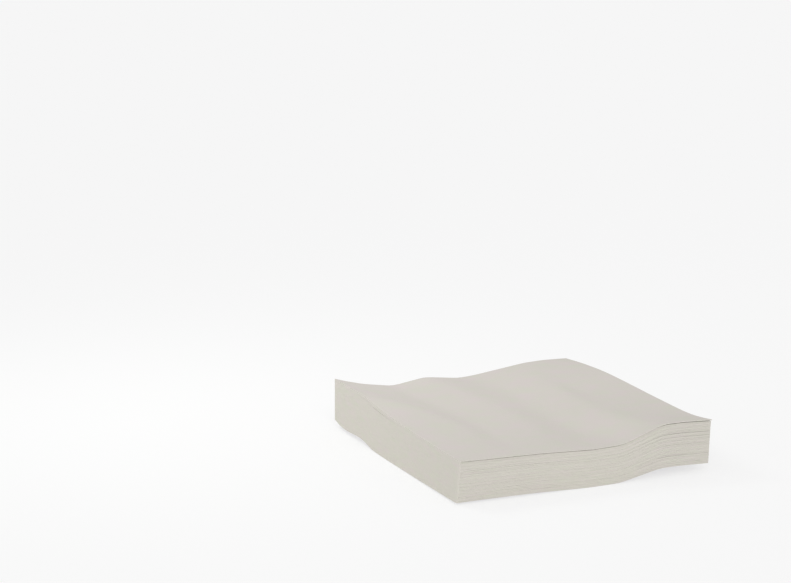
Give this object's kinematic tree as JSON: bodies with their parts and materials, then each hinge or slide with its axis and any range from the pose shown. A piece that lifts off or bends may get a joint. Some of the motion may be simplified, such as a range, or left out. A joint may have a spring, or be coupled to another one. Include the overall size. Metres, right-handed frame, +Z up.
{
  "type": "stack of paper napkins",
  "caption": "Low stack of quarter-folded tissue napkins, round folds on one side and open leaves on two, settled in one gentle wave.",
  "frame": {"origin": "centre of the stack's footprint, on the surface that it lies on", "axes": "+Z up through the stack; -X towards the round second folds, +X towards the open leaf ends; -Y towards the open front edges, +Y towards the first folds"},
  "size_m": [0.145, 0.159, 0.029],
  "materials": {
    "tissue_paper": "matt"
  },
  "bodies": {
    "root": {"napkin_01": "tissue_paper", "napkin_02": "tissue_paper", "napkin_03": "tissue_paper", "napkin_04": "tissue_paper", "napkin_05": "tissue_paper", "napkin_06": "tissue_paper", "napkin_07": "tissue_paper", "napkin_08": "tissue_paper", "napkin_09": "tissue_paper", "napkin_10": "tissue_paper", "napkin_11": "tissue_paper", "napkin_12": "tissue_paper"}
  },
  "joints": []
}
